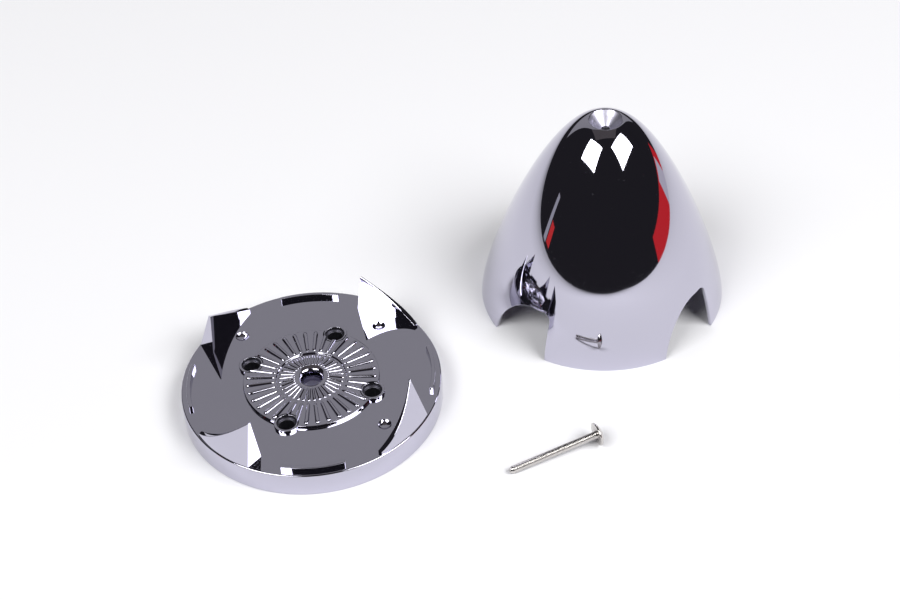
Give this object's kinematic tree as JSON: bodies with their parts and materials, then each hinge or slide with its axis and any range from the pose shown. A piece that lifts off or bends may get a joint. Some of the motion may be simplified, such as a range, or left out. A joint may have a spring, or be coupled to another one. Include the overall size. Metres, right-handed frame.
{
  "type": "propeller spinner",
  "caption": "Chromed propeller spinner taken apart: a pointed nose cone with blade arches, its round finned backplate and the screw that joins them.",
  "frame": {"origin": "centre of the backplate's back face, on the axis of the shaft bore", "axes": "+Z out of the backplate's front along the shaft bore, +X through the middle of one locating lip, towards the cone beside it"},
  "size_m": [0.2191, 0.1504, 0.0856],
  "materials": {
    "backplate_chrome": "bright plating over moulded plastic",
    "cone_chrome": "bright plating over moulded plastic",
    "screw_steel": "plain bright steel"
  },
  "bodies": {
    "root": {"backplate": "backplate_chrome", "spinner_cone": "cone_chrome", "cone_screw": "screw_steel"}
  },
  "joints": []
}
